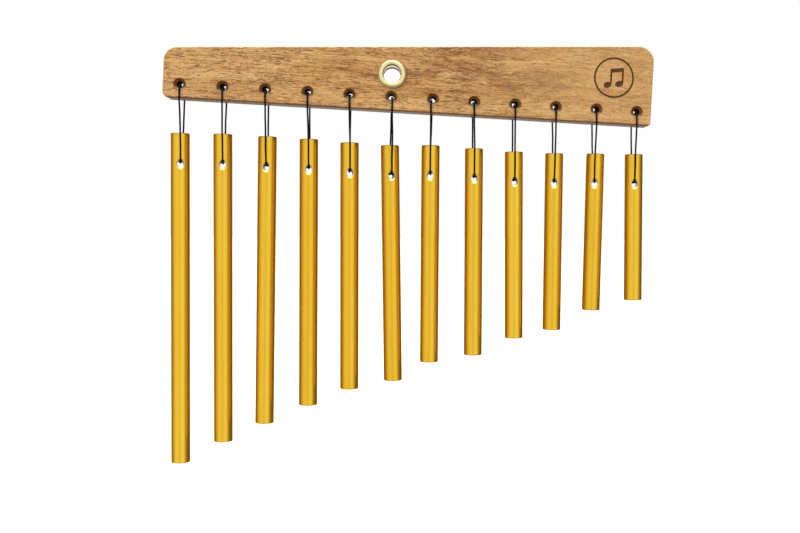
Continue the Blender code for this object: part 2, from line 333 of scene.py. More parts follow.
WOOD_LIGHT = (0.685, 0.412, 0.163)
WOOD_MIDDLE = (0.515, 0.270, 0.077)
WOOD_CALM = (0.64, 0.375, 0.144)
WOOD_RED = (0.33, 0.122, 0.023)
WOOD_PORE = (0.14, 0.038, 0.008)
# The colour of cut wood round the holes, and also of the painted shade beside the eyelet and along the
# lower edge.
WOOD_CUT_AND_SHADE = (0.125, 0.040, 0.009)
WOOD_BURNT = (0.034, 0.009, 0.003)
# The colour of the painted highlights on the rail's upper edges and on the holes' lower lips.
WOOD_PAINTED_HIGHLIGHT = (0.78, 0.60, 0.40)
# The colour of the painted reflection on the rail's underside.
WOOD_UNDERSIDE_REFLECTION = (0.42, 0.32, 0.25)
# Soot patches in the drilled holes, and the painted shade inside the rail's bores.
SOOT_AND_SHADE_IN_HOLES = (0.004, 0.002, 0.001)
SOOT_IN_MARK = (0.02, 0.008, 0.004)

# Places and heights are in millimetres in the rail's frame, and scales are per millimetre.
SWELL_SCALES, SWELL_HEIGHT = (0.024, 0.05, 0.04), 6.0
RIPPLE_SCALES, RIPPLE_HEIGHTS = (0.20, 0.1, 0.24), (0.5, 2.2)
HEART_AT = 48.0  # right of the eyelet, where the figure is liveliest
# Layers of grain: scales along and across it, detail, roughness, and a shift along it.
BANDS = (0.011, 0.30, 3.0, 0.6, 0.0)
STREAKS = (0.075, 1.35, 4.0, 0.68, 7.0)
FIBRES = (0.34, 1.9, 3.0, 0.7, 3.0)
PATCHES = (0.03, 0.13, 3.0, 0.6, 11.0)
LAYER_WEIGHTS = (0.38, 0.62, 0.48)  # what bands, streaks and fibres add to the tone
THROUGH_BOARD = 0.7  # a layer's scale through the board, against its scale across the grain
TONE_STOPS = [(0.615, WOOD_RED), (0.725, WOOD_MIDDLE), (0.855, WOOD_LIGHT)]
# Pores: scales along and across the grain, the noise level where a pore starts, and its strength.
PORE_LAYERS = ((0.09, 1.6, 0.59, 0.5), (0.24, 2.0, 0.585, 0.9), (0.55, 2.6, 0.60, 0.8))
PORE_EDGE = 0.06
CROWD_SCALES, CROWD_STRENGTH = (0.035, 0.1, 0.16), 0.26


def wood_figure(tree):
    """(colour, pores, fibres) of oiled, open-pored wood whose grain runs along the rail."""
    x, y, z = tree.split(in_rail_mm(tree))

    def grain(along, across_scale, detail, rough, shift):
        shifted = tree.add(tree.times(x, along), shift)
        through = tree.times(y, across_scale * THROUGH_BOARD)
        return tree.noise(tree.xyz(shifted, through, tree.times(across, across_scale)), 1.0, detail, rough)

    # The grain wanders up and down, and ripples more round the heart and in the board's upper part.
    swell = tree.stretched((x, y, z), SWELL_SCALES, 2.0, 0.5)
    ripple = tree.stretched((x, y, z), RIPPLE_SCALES, 2.0, 0.5)
    from_heart = tree.math("ABSOLUTE", tree.minus(x, HEART_AT))
    rippled = tree.times(tree.soft_step(from_heart, 75.0, 15.0, *RIPPLE_HEIGHTS),
                         tree.soft_step(z, -19.0, -9.0, 0.35, 1.0))
    lift = tree.add(tree.times(tree.minus(swell, 0.5), SWELL_HEIGHT),
                    tree.times(tree.minus(ripple, 0.5), rippled))
    across = tree.add(z, lift)
    fibres = grain(*FIBRES)
    tone = 0.0
    for layer, weight in zip((grain(*BANDS), grain(*STREAKS), fibres), LAYER_WEIGHTS):
        tone = tree.add(tone, tree.times(layer, weight))
    # The left end is paler, and so is the lower edge but for its left end.
    left = tree.soft_step(x, -10.0, -95.0, 0.0, 0.07)
    low = tree.times(tree.soft_step(z, -8.0, -16.0, 0.0, 0.04), tree.soft_step(x, -70.0, -30.0))
    color = tree.ramp(tree.add(tone, tree.add(left, low)), TONE_STOPS)
    # The heart of the figure, right of the eyelet and in the upper half, runs redder and darker.
    heart = tree.times(tree.soft_step(z, -14.0, -4.0), tree.soft_step(from_heart, 70.0, 10.0, 0.25, 0.9))
    redness = tree.times(tree.soft_step(grain(*PATCHES), 0.36, 0.66), heart)
    color = tree.mix(tree.times(redness, 0.55), color, WOOD_RED)
    # A darker ring crosses the lower left end, from just above the first holes down.
    above_holes = tree.minus(across, hole_in_rail(1).z / MM)
    ring = tree.times(tree.soft_step(above_holes, 3.5, 2.7), tree.soft_step(x, -35.0, -75.0, 0.0, 0.22))
    color = tree.mix(ring, color, WOOD_RED)
    # Open pores: dark dashes along the grain, long and short, crowded in some zones.
    crowd = tree.stretched((x, y, across), CROWD_SCALES, 2.0, 0.5)
    crowd = tree.add(tree.times(tree.minus(crowd, 0.5), CROWD_STRENGTH), tree.times(redness, 0.05))
    pores = 0.0
    for along, across_scale, edge, depth in PORE_LAYERS:
        dashes = grain(along, across_scale, 2.0, 0.55, 20.0 * along)
        found = tree.soft_step(tree.add(dashes, crowd), edge, edge + PORE_EDGE, 0.0, depth)
        pores = tree.larger(found, pores)
    color = tree.mix(tree.times(pores, 0.85), color, WOOD_PORE)
    # The figure grows paler and calmer towards the short bars.
    color = tree.mix(tree.soft_step(x, 30.0, 105.0, 0.0, 0.42), color, WOOD_CALM)
    return color, pores, fibres


def from_hole(tree):
    """(distance, height) in millimetres of a point from the nearest hole of the row."""
    x, _, z = tree.split(in_rail_mm(tree))
    pitch = HOLE_PITCH / MM
    # The count starts some pitches left of the board, because the remainder must stay positive.
    start = (hole_in_rail(1).x - 20 * HOLE_PITCH) / MM - pitch / 2
    along = tree.minus(tree.math("MODULO", tree.minus(x, start), pitch), pitch / 2)
    up = tree.minus(z, hole_in_rail(1).z / MM)
    return tree.length(along, 0.0, up), up


def wood_material():
    made, tree, shader = new_material("oiled_wood")
    color, pores, fibres = wood_figure(tree)
    # The drill has scorched and smudged the wood round each hole.
    scorch = tree.soft_step(from_hole(tree)[0], 4.3, 2.9, 0.0, 0.25)
    color = tree.mix(scorch, color, WOOD_CUT_AND_SHADE)
    # Smoke-brown haze beside the burned mark.
    x, y, z = tree.split(in_rail_mm(tree))
    out = tree.length(tree.minus(x, MARK_CENTRE[0] / MM), 0.0, tree.minus(z, MARK_CENTRE[1] / MM))
    from_ring = tree.math("ABSOLUTE", tree.minus(out, MARK_RING / MM))
    haze = tree.times(tree.soft_step(from_ring, 0.95, 0.4, 0.0, 0.28), tree.soft_step(y, -5.0, -5.9))
    color = tree.mix(haze, color, WOOD_BURNT)
    # Painted shadow of the eyelet darkens the wood round it, most to the lower right.
    flange = EYELET_FLANGE / MM
    near = tree.soft_step(tree.length(x, 0.0, z), flange + 1.0, flange - 0.2)
    lower_right = tree.minus(tree.times(x, 0.8), tree.times(z, 0.6))
    color = tree.mix(tree.times(near, tree.soft_step(lower_right, -4.0, 6.0, 0.1, 0.65)), color, WOOD_CUT_AND_SHADE)
    # A painted highlight makes the rounded edges paler towards the top, and painted shade darkens the
    # lower edge.
    depth = tree.math("ABSOLUTE", y)
    half = RAIL_HALF / MM
    rim = tree.times(tree.soft_step(depth, half - 0.05, half - 0.3), tree.soft_step(depth, 4.2, 5.2))
    above = tree.minus(z, RAIL_BOTTOM / MM)
    color = tree.mix(tree.times(rim, tree.soft_step(above, 4.0, 9.0, 0.1, 0.7)), color, WOOD_PAINTED_HIGHLIGHT)
    # Painted shade along the lower rounded edge.
    color = tree.mix(tree.soft_step(above, 1.15, 0.45, 0.0, 0.8), color, WOOD_CUT_AND_SHADE)
    # A painted reflection of the light from below makes the underside paler and greyer.
    color = tree.mix(tree.soft_step(above, 0.2, 0.02, 0.0, 0.75), color, WOOD_UNDERSIDE_REFLECTION)
    shader("Base Color", color)
    shader("Roughness", tree.soft_step(fibres, 0.2, 0.8, 0.56, 0.42))
    shader("Specular IOR Level", 0.35)
    shader("Coat Weight", 0.08)
    shader("Coat Roughness", 0.35)
    grain = tree.bump(fibres, 0.06 * MM, 0.6)
    shader("Normal", tree.bump(tree.minus(1.0, pores), 0.12 * MM, 0.9, grain))
    return made


def cut_wood_material(name, color, dark, roughness, drilled=False):
    """Wood that a drill or a hot stamp has cut: the same figure, darkened."""
    made, tree, shader = new_material(name)
    figure, _, fibres = wood_figure(tree)
    toasted = tree.mix(0.86, figure, color)
    grime = tree.noise(in_rail_mm(tree), 2.3, 4.0, 0.65)
    toasted = tree.mix(tree.soft_step(grime, 0.45, 0.75, 0.0, 0.7), toasted, dark)
    if drilled:
        # A painted highlight makes each hole's lower lip paler, and painted shade turns the bore behind it
        # black.
        away, up = from_hole(tree)
        lip_highlight = tree.times(tree.soft_step(up, -1.2, -2.2), tree.soft_step(away, 1.6, 2.0, 0.0, 0.32))
        toasted = tree.mix(lip_highlight, toasted, WOOD_PAINTED_HIGHLIGHT)
        # Painted shade: the bore behind the lip is turned near black.
        toasted = tree.mix(tree.soft_step(away, 1.9, 1.6, 0.0, 0.95), toasted, dark)
    shader("Base Color", toasted)
    shader("Roughness", roughness)
    shader("Specular IOR Level", 0.12)
    shader("Normal", tree.bump(fibres, 0.1 * MM, 0.7))
    return made


def arc(centre, radius, start_deg, end_deg, steps):
    """Points on a circle in a plane, both ends included."""
    angles = np.radians(np.linspace(start_deg, end_deg, steps + 1))
    return [(centre[0] + radius * math.cos(a), centre[1] + radius * math.sin(a)) for a in angles]


def rail_corners():
    """The centre, radius, first angle and sweep of each rounded corner of the board."""
    right = RAIL_LEFT + RAIL_LENGTH
    corners = [
        (RAIL_LEFT, RAIL_BOTTOM, RAIL_BOTTOM_RADII[0]),
        (right, RAIL_BOTTOM, RAIL_BOTTOM_RADII[1]),
        (right, RAIL_BOTTOM + RAIL_HEIGHTS[1], RAIL_TOP_RADII[1]),
        (RAIL_LEFT, RAIL_BOTTOM + RAIL_HEIGHTS[0], RAIL_TOP_RADII[0]),
    ]
    found = []
    for i, (x, z, radius) in enumerate(corners):
        before = corners[i - 1]
        after = corners[(i + 1) % len(corners)]
        heading_in = math.atan2(z - before[1], x - before[0])
        heading_out = math.atan2(after[1] - z, after[0] - x)
        turn = (heading_out - heading_in) % math.tau
        setback = radius * math.tan(turn / 2)
        start = (x - setback * math.cos(heading_in), z - setback * math.sin(heading_in))
        centre = (start[0] - radius * math.sin(heading_in), start[1] + radius * math.cos(heading_in))
        found.append((centre, radius, math.degrees(heading_in) - 90, math.degrees(turn)))
    return found


def mesh_of(name, points, faces, slot=0):
    mesh = bpy.data.meshes.new(name)
    mesh.from_pydata([tuple(p) for p in points], [], faces)
    mesh.polygons.foreach_set("use_smooth", [True] * len(faces))
    mesh.polygons.foreach_set("material_index", [slot] * len(faces))
    mesh.update()
    return mesh


def linked(name, data, matrix=None):
    """A new object in the scene."""
    obj = bpy.data.objects.new(name, data)
    bpy.context.scene.collection.objects.link(obj)
    if matrix is not None:
        obj.matrix_world = matrix
    return obj


def skin(rings, count):
    """Quads between rings of count points each, laid one after another, and a cap on either end."""
    faces = []
    for i in range(rings - 1):
        a, b = i * count, (i + 1) * count
        for j in range(count):
            k = (j + 1) % count
            faces.append((a + j, a + k, b + k, b + j))
    faces.append(tuple(reversed(range(count))))
    faces.append(tuple((rings - 1) * count + j for j in range(count)))
    return faces


def board_mesh():
    """The board as rings round its outline, from the front face over the rounded edge to the back."""
    corner_steps, edge_steps = 14, 6
    section = []
    for y_sign in (-1, 1):
        side = arc((0, 0), RAIL_EDGE_ROUND, 90, 0, edge_steps)
        part = [(RAIL_EDGE_ROUND - out, y_sign * (RAIL_HALF - RAIL_EDGE_ROUND + up)) for out, up in side]
        section += part if y_sign < 0 else part[::-1]
    points = []
    for inset, y in section:
        for centre, radius, first, sweep in rail_corners():
            for x, z in arc(centre, radius - inset, first, first + sweep, corner_steps):
                points.append((x, y, z))
    count = len(points) // len(section)
    return mesh_of("rail_board", points, skin(len(section), count))


def turned_mesh(name, profile, steps, closed_profile=False, slot=0):
    """A body turned about local Z from (radius, height) points that run down its outside.
    A point on the axis is one vertex."""
    points, rows = [], []
    for radius, height in profile:
        if radius < 1e-9:
            rows.append([len(points)] * steps)
            points.append((0.0, 0.0, height))
            continue
        rows.append(list(range(len(points), len(points) + steps)))
        for j in range(steps):
            angle = math.tau * j / steps
            points.append((radius * math.cos(angle), radius * math.sin(angle), height))
    pairs = list(zip(rows, rows[1:])) + ([(rows[-1], rows[0])] if closed_profile else [])
    faces = []
    for upper, lower in pairs:
        for j in range(steps):
            k = (j + 1) % steps
            loop = [upper[j], lower[j], lower[k], upper[k]]
            faces.append(tuple(dict.fromkeys(loop)))
    return mesh_of(name, points, faces, slot)


def drill_mesh(bore, sink, depth, half, steps):
    """A through drill along local Z with a countersink at each end, whose lip is broken softly."""
    reach, lip, step = half + 0.6 * MM, 0.12 * MM, 0.04 * MM
    slope = (sink - bore) / depth
    outline = [(sink + lip + slope * (reach - half), reach), (sink + lip, half),
               (sink - 0.25 * lip, half - 0.7 * lip),
               (bore + step, half - depth), (bore, half - depth - 1.25 * step)]
    profile = [(0.0, reach), *outline, *[(r, -h) for r, h in reversed(outline)], (0.0, -reach)]
    return turned_mesh("drill", profile, steps, slot=BORE_SLOT)


def cut_by(obj, cutters):
    """Cuts the cutters out of obj, keeps the result as its mesh, and removes them."""
    group = bpy.data.collections.new("cutters")
    bpy.context.scene.collection.children.link(group)
    for cutter in cutters:
        bpy.context.scene.collection.objects.unlink(cutter)
        group.objects.link(cutter)
    cut = obj.modifiers.new("cut", "BOOLEAN")
    cut.operand_type = "COLLECTION"
    cut.collection = group
    cut.solver = "EXACT"
    bpy.context.view_layer.update()
    made = bpy.data.meshes.new_from_object(obj.evaluated_get(bpy.context.evaluated_depsgraph_get()))
    obj.modifiers.clear()
    obj.data = made
    for cutter in cutters:
        bpy.data.objects.remove(cutter)
    bpy.data.collections.remove(group)


def face_outwards(mesh):
    """Turns the mesh's faces to the outside, as a cutter's must be."""
    work = bmesh.new()
    work.from_mesh(mesh)
    bmesh.ops.recalc_face_normals(work, faces=work.faces)
    work.to_mesh(mesh)
    work.free()


def plate_cutter(outline, placed):
    """A flat cutter into the rail's front face, which narrows inwards from its outline."""
    points = []
    for y, grow in ((-RAIL_HALF - CUTTER_REACH, 1.0), (MARK_DEPTH - RAIL_HALF, MARK_NARROWS)):
        points += [(x * grow, y, z * grow) for x, z in outline]
    mesh = mesh_of("mark", points, skin(2, len(outline)), BURNT_SLOT)
    face_outwards(mesh)
    return linked("mark", mesh, placed)


def mark_cutters():
    """A generic burned mark: a ring round a pair of beamed notes."""
    middle = Matrix.Translation((MARK_CENTRE[0], 0, MARK_CENTRE[1]))
    half_line, groove = MARK_LINE / 2, 0.3 * MARK_LINE
    top, floor = RAIL_HALF + CUTTER_REACH, RAIL_HALF - MARK_DEPTH
    ring_profile = [
        (MARK_RING - half_line, top), (MARK_RING + half_line, top), (MARK_RING + half_line, RAIL_HALF),
        (MARK_RING + groove, floor), (MARK_RING - groove, floor), (MARK_RING - half_line, RAIL_HALF),
    ]
    ring = turned_mesh("mark_ring", ring_profile, RING_STEPS, True, BURNT_SLOT)
    face_outwards(ring)
    made = [linked("mark_ring", ring, RAIL_MATRIX @ middle @ FACING)]

    def shape(outline, x, z, turn_deg=0):
        at = Matrix.Translation((x * MM, 0, z * MM)) @ Matrix.Rotation(math.radians(turn_deg), 4, "Y")
        made.append(plate_cutter([(a * MM, b * MM) for a, b in outline], RAIL_MATRIX @ middle @ at))

    def bar(width, height):
        x, z = width / 2, height / 2
        return [(-x, -z), (x, -z), (x, z), (-x, z)]

    # In millimetres round the ring's middle: two heads with their stems, and the beam.
    head = [(2.3 * math.cos(a), 1.65 * math.sin(a)) for a in np.linspace(0, math.tau, 24, endpoint=False)]
    for x, z in ((-3.3, -3.9), (2.9, -3.1)):
        shape(head, x, z, -20)
        shape(bar(1.0, 7.9), x + 1.75, z + 4.1)
    shape(bar(7.25, 2.1), 1.5, 4.0, -7.4)
    return made


def make_rail(wood, bore_wood, burnt_wood):
    mesh = board_mesh()
    for material in (wood, bore_wood, burnt_wood):
        mesh.materials.append(material)
    mesh.transform(RAIL_MATRIX)
    rail = linked("rail_board", mesh)
    cutters = mark_cutters()
    for number in NUMBERS:
        drill = drill_mesh(RAIL_BORE, RAIL_SINK, RAIL_SINK_DEPTH, RAIL_HALF, RAIL_DRILL_STEPS)
        placed = RAIL_MATRIX @ Matrix.Translation(hole_in_rail(number)) @ FACING
        cutters.append(linked("drill", drill, placed))
    reach, radius = RAIL_HALF + CUTTER_REACH, EYELET_OUTSIDE + EYELET_HOLE_GAP
    outline = [(0.0, reach), (radius, reach), (radius, -reach), (0.0, -reach)]
    punch = turned_mesh("punch", outline, PUNCH_STEPS, slot=BORE_SLOT)
    cutters.append(linked("punch", punch, RAIL_MATRIX @ FACING))
    cut_by(rail, cutters)
    rail.data.set_sharp_from_angle(angle=math.radians(28))
    weighted = rail.modifiers.new("flat_faces", "WEIGHTED_NORMAL")
    weighted.keep_sharp = True
    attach(rail, "rack")
    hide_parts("rail")


# ---------------------------------------------------------------- brass
BRASS_STOPS = [(0.3, (0.90, 0.79, 0.39)), (0.7, (0.95, 0.86, 0.46))]
# The colour of the painted shade in the eyelet's barrel and under its dome.
BRASS_SHADE = (0.03, 0.022, 0.014)
DOME_FOOT = 0.45 * MM  # the dome's foot over the board
FLANGE_SEAT = 0.02 * MM  # the flange's underside over the board
ROLL_PAST_WASHER = 0.32 * MM  # from the washer to where the barrel starts to roll
ROLL_HEIGHT = 0.68 * MM


def brass_material():
    made, tree, shader = new_material("pale_brass")
    at = in_mm(tree)
    smudge = tree.noise(at, 0.35, 4.0, 0.6)
    color = tree.ramp(smudge, BRASS_STOPS)
    # Painted shade at both ends of the barrel, and in the groove under the dome.
    x, y, z = tree.split(at)
    out = tree.length(x, 0.0, z)
    inside = tree.soft_step(out, 5.1, 4.8)
    throat = tree.times(tree.soft_step(y, 1.2, 2.6), inside)
    lip = tree.times(tree.soft_step(y, -3.4, -5.2, 0.0, 0.75), tree.soft_step(y, -7.4, -6.8))
    painted_barrel_shade = tree.larger(throat, tree.times(lip, inside))
    groove = tree.soft_step(out, 6.85, 7.1)
    painted_shade = tree.larger(painted_barrel_shade, tree.times(groove, 0.5))
    shader("Base Color", tree.mix(tree.times(painted_shade, 0.96), color, BRASS_SHADE))
    # The painted shade in the barrel is no metal, and it kills the gloss.
    shader("Metallic", tree.minus(1.0, painted_barrel_shade))
    polish = tree.soft_step(smudge, 0.3, 0.7, 0.22, 0.30)
    shader("Roughness", tree.add(polish, tree.times(painted_barrel_shade, 0.6)))
    shader("Specular IOR Level", 0.1)
    # Fine rings from the press tool.
    rings = tree.stretched((out, y), (9.0, 9.0), 2.0, 0.5)
    shader("Normal", tree.bump(rings, 0.005 * MM, 0.3))
    return made


def eyelet_profile():
    """From the lip inside the front dome, out over it to its base flange, along the barrel and
    round the roll."""
    half_width = (EYELET_DOME - EYELET_BORE) / 2
    crest = EYELET_BORE + half_width
    foot = RAIL_HALF + DOME_FOOT
    rise = EYELET_CREST - foot
    points = []
    for angle in np.radians(np.linspace(180, 0, 19)):
        flat = 0.75 if angle > math.pi / 2 else 1.0  # the dome rolls into the bore more gently
        points.append((crest + half_width * math.cos(angle), foot + rise * math.sin(angle) ** flat))
    lip, seat = 0.1 * MM, RAIL_HALF + FLANGE_SEAT
    upper = foot - 1.2 * lip
    points += [(EYELET_DOME, upper), (EYELET_FLANGE - lip, upper), (EYELET_FLANGE, upper - lip),
               (EYELET_FLANGE, seat + lip), (EYELET_FLANGE - lip, seat), (EYELET_OUTSIDE, seat)]
    back = -RAIL_HALF - WASHER_THICKNESS - ROLL_PAST_WASHER
    points.append((EYELET_OUTSIDE, back))
    roll = (EYELET_ROLL - EYELET_BORE) / 2
    for angle in np.radians(np.linspace(0, -180, 13)):
        out = EYELET_BORE + roll + roll * math.cos(angle)
        points.append((out, back - lip + ROLL_HEIGHT * math.sin(angle)))
    return points


def make_eyelet(brass):
    eyelet = linked("eyelet_domed", turned_mesh("eyelet_domed", eyelet_profile(), RING_STEPS, True))
    inner, near = EYELET_OUTSIDE + 0.12 * MM, -RAIL_HALF - 0.04 * MM
    far, soft = near - WASHER_THICKNESS, 0.18 * MM
    ring = [(inner, near), (WASHER_OUTSIDE - soft, near), (WASHER_OUTSIDE, near - soft),
            (WASHER_OUTSIDE, far + soft), (WASHER_OUTSIDE - soft, far), (inner + soft, far),
            (inner, far + soft)]
    washer = linked("eyelet_back_washer", turned_mesh("eyelet_back_washer", ring, RING_STEPS, True))
    for obj, node in ((eyelet, "eyelet"), (washer, "eyelet_washer")):
        obj.data.transform(RAIL_MATRIX @ FACING)
        obj.data.materials.append(brass)
        obj.data.set_sharp_from_angle(angle=math.radians(40))
        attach(obj, "rack")
        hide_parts(node)


# ---------------------------------------------------------------- bars
BAR_STEPS = 72
BAR_DRILL_STEPS = 48
BAR_END_STEPS = 6
HOLE_ROOM = 6 * MM  # the bar's rings stop this far above and below its hole

GOLD_STOPS = [(0.3, (0.870, 0.520, 0.037)), (0.7, (0.940, 0.605, 0.055))]
GOLD_DUST = (0.62, 0.30, 0.02)
# The colour of the painted shade on the bars' top edges.
GOLD_TOP_SHADE = (0.24, 0.12, 0.015)
GOLD_TINT = (0.80, 0.46, 0.10, 1.0)
BARED_STOPS = [(0.35, (0.62, 0.52, 0.26)), (0.65, (0.80, 0.70, 0.38))]
BLACK_WAX = (0.035, 0.022, 0.010)


def bar_material():
    made, tree, shader = new_material("gold_anodised")
    x, y, z = tree.split(in_mm(tree))
    random = tree.node("ObjectInfo").outputs["Random"]
    seed = tree.times(random, 90.0)
    lengthwise = tree.xyz(tree.add(tree.times(x, 1.6), seed), tree.times(y, 1.6), tree.times(z, 0.025))
    drawn = tree.noise(lengthwise, 1.0, 4.0, 0.7)
    cloud = tree.noise(tree.xyz(tree.add(x, seed), y, tree.times(z, 0.3)), 0.12, 3.0, 0.55)
    dust = tree.noise(tree.xyz(tree.add(x, seed), y, z), 2.2, 3.0, 0.6)
    # Each bar took the dye a little differently.
    tone = tree.add(tree.add(tree.times(drawn, 0.3), tree.times(cloud, 0.4)), tree.times(random, 0.3))
    color = tree.ramp(tone, GOLD_STOPS)
    color = tree.mix(tree.soft_step(dust, 0.70, 0.82, 0.0, 0.18), color, GOLD_DUST)
    # Painted shade darkens each bar's rounded top edge and its end.
    edge = (BAR_HOLE_BELOW_TOP - BAR_END_ROUND) / MM
    color = tree.mix(tree.soft_step(z, edge - 0.1, edge + 0.15, 0.0, 0.8), color, GOLD_TOP_SHADE)
    shader("Base Color", color)
    shader("Metallic", 1.0)
    shader("Specular Tint", GOLD_TINT)
    grit = tree.add(drawn, tree.times(dust, 0.3))
    shader("Roughness", tree.soft_step(grit, 0.4, 0.9, 0.22, 0.28))
    shader("Normal", tree.bump(drawn, 0.006 * MM, 0.3))
    return made


def bare_metal_material():
    """Aluminium that the drill bared, inside the holes of the bars."""
    made, tree, shader = new_material("drilled_aluminium")
    x, y, z = tree.split(in_mm(tree))
    out = tree.length(x, 0.0, z)
    rings = tree.stretched((out, y), (4.0, 7.0), 2.0, 0.6)
    # The cord has left black wax under the roof of the bore.
    waxed = tree.times(tree.soft_step(out, 1.82, 1.70), tree.soft_step(z, 0.2, 1.0, 0.15, 0.95))
    shader("Base Color", tree.mix(waxed, tree.ramp(rings, BARED_STOPS), BLACK_WAX))
    shader("Metallic", tree.minus(1.0, waxed))
    shader("Roughness", tree.soft_step(waxed, 0.0, 1.0, 0.32, 0.8))
    shader("Specular IOR Level", 0.1)
    shader("Normal", tree.bump(rings, 0.02 * MM, 0.5))
    return made


def bar_axis(number):
    """(matrix, radius, length) of a bar: the frame's origin is the middle of its hole, Z runs up it."""
    points = np.array([tuple(v.co) for v in frame["nodes"][f"bar_{number:02d}"].data.vertices])
    points = np.unique(np.round(points, 7), axis=0)
    middle = points.mean(axis=0)
    along = np.linalg.svd(points - middle)[2][0]
    along = along * np.sign(along[2])
    heights = (points - middle) @ along
    radius = np.linalg.norm(points - middle - np.outer(heights, along), axis=1).max()
    lean = math.atan2(along[0], along[2])
    hole = Vector(middle + along * (heights.max() - BAR_HOLE_BELOW_TOP))
    hole.y = 0.0
    turned = Matrix.Rotation(lean, 4, "Y") @ Matrix.Rotation(twist_of(number), 4, "Z")
    return Matrix.Translation(hole) @ turned, radius, heights.max() - heights.min()


def set_bar_normals(mesh, radius, top, bottom):
    """Exact normals for each surface of a drilled bar, so that the cut hole leaves no shading marks."""
    shoulder = radius - BAR_END_ROUND

    def side(p):
        return Vector((p.x, p.y, 0)).normalized()

    def rounded(p):
        up = p.z > (top + bottom) / 2
        ring = side(p) * shoulder
        ring.z = top - BAR_END_ROUND if up else bottom + BAR_END_ROUND
        return (p - ring).normalized()

    def end(p):
        return Vector((0, 0, 1 if p.z > (top + bottom) / 2 else -1))

    def bore(p):
        return -Vector((p.x, 0, p.z)).normalized()

    normals = []
    for face in mesh.polygons:
        centre = face.center
        out = math.hypot(centre.x, centre.y)
        rule = None
        if centre.z > top - 1e-6 or centre.z < bottom + 1e-6:
            rule = end
        elif centre.z > top - BAR_END_ROUND or centre.z < bottom + BAR_END_ROUND:
            rule = rounded
        elif out > radius * 0.98 and face.normal.dot(side(centre)) > 0.98:
            rule = side
        elif abs(math.hypot(centre.x, centre.z) - BAR_BORE) < 0.03 * MM:
            rule = bore
        for index in face.vertices:
            normals.append(rule(mesh.vertices[index].co) if rule else face.normal)
    mesh.normals_split_custom_set(normals)


def make_bar(number, gold, bare):
    matrix, radius, length = bar_axis(number)
    name = f"rod_{number:02d}"
    top = BAR_HOLE_BELOW_TOP
    bottom = top - length
    shoulder = radius - BAR_END_ROUND
    profile = [(0.0, top)]
    profile += arc((shoulder, top - BAR_END_ROUND), BAR_END_ROUND, 90, 0, BAR_END_STEPS)
    profile += [(radius, HOLE_ROOM), (radius, -HOLE_ROOM)]
    profile += arc((shoulder, bottom + BAR_END_ROUND), BAR_END_ROUND, 0, -90, BAR_END_STEPS)
    profile.append((0.0, bottom))
    mesh = turned_mesh(name, profile, BAR_STEPS)
    mesh.materials.append(gold)
    mesh.materials.append(bare)
    bar = linked(name, mesh, matrix)
    drill = drill_mesh(BAR_BORE, BAR_SINK, BAR_SINK_DEPTH, radius, BAR_DRILL_STEPS)
    cut_by(bar, [linked("drill", drill, matrix @ FACING)])
    set_bar_normals(bar.data, radius, top, bottom)
    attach(bar, f"bar_{number:02d}")
    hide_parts(f"bar_{number:02d}")


# ---------------------------------------------------------------- cords
CORD_BLACK = (0.006, 0.003, 0.002)
CORD_WORN = (0.034, 0.027, 0.021)
CORD_SIDES, KNOT_SIDES = 15, 12


def cord_material():
    """Black twisted cord. Each tube carries how far along and round it a point is."""
    made, tree, shader = new_material("black_twisted_cord")
    along = tree.node("Attribute", attribute_name="cord_along").outputs["Fac"]
    around = tree.node("Attribute", attribute_name="cord_around").outputs["Vector"]
    x, y, _ = tree.split(around)
    fibre = tree.stretched((x, y, along), (2.6, 2.6, 0.5), 3.0, 0.7)
    fluff = tree.noise(in_mm(tree), 3.4, 3.0, 0.7)
    worn = tree.times(tree.soft_step(fibre, 0.45, 0.75), tree.soft_step(fluff, 0.35, 0.7))
    shader("Base Color", tree.mix(worn, CORD_BLACK, CORD_WORN))
    shader("Roughness", 0.75)
    shader("Specular IOR Level", 0.1)
    shader("Normal", tree.bump(fibre, 0.05 * MM, 0.8))
    return made


def evenly(line, step):
    """The line again with points step apart."""
    line = np.array(line, float)
    along = np.concatenate([[0], np.cumsum(np.linalg.norm(np.diff(line, axis=0), axis=1))])
    at = np.linspace(0, along[-1], max(2, math.ceil(along[-1] / step) + 1))
    return np.stack([np.interp(at, along, line[:, k]) for k in range(3)], axis=1)


def length_of(line):
    return float(np.linalg.norm(np.diff(np.array(line), axis=0), axis=1).sum())


def cord_tube(line, radius, step, around, ends=(1.0, 1.0), phase=0.0, bends=()):
    """(points, faces, along, section) of a tube of twisted plies round a line. The plies spread and bunch
    up at each of the bends, which are (place, how much wider, how much thicker)."""
    line = evenly(line, step)
    heading = np.gradient(line, axis=0)
    heading /= np.linalg.norm(heading, axis=1)[:, None]
    side = np.cross(heading[0], (1.0, 0.01, 0.02))
    travelled = np.linspace(0, length_of(line), len(line))
    points, section = [], []
    angles = np.arange(around) * math.tau / around
    opened, bunched = np.ones(len(line)), np.ones(len(line))
    for place, wider, thicker in bends:
        near = np.exp(-(np.linalg.norm(line - np.array(place), axis=1) / BEND_REACH) ** 2)
        opened += wider * near
        bunched += thicker * near
    for i, (at, ahead) in enumerate(zip(line, heading)):
        side = side - ahead * (side @ ahead)
        side /= np.linalg.norm(side)
        other = np.cross(ahead, side)
        twist = phase + math.tau * travelled[i] / PLY_PITCH
        wave = np.abs(np.cos(PLIES / 2 * (angles - twist)))
        spread = ends[0] if i == 0 else ends[1] if i == len(line) - 1 else 1.0
        out = radius * spread * (1 - PLY_VALLEY * (1 - wave))
        points.append(at + np.outer(bunched[i] * np.cos(angles) * out, side)
                      + np.outer(opened[i] * np.sin(angles) * out, other))
        section.append(np.stack([np.cos(angles - twist), np.sin(angles - twist), 0 * angles], axis=1))
    faces = skin(len(line), around)
    return np.concatenate(points), faces, travelled.repeat(around), np.concatenate(section)


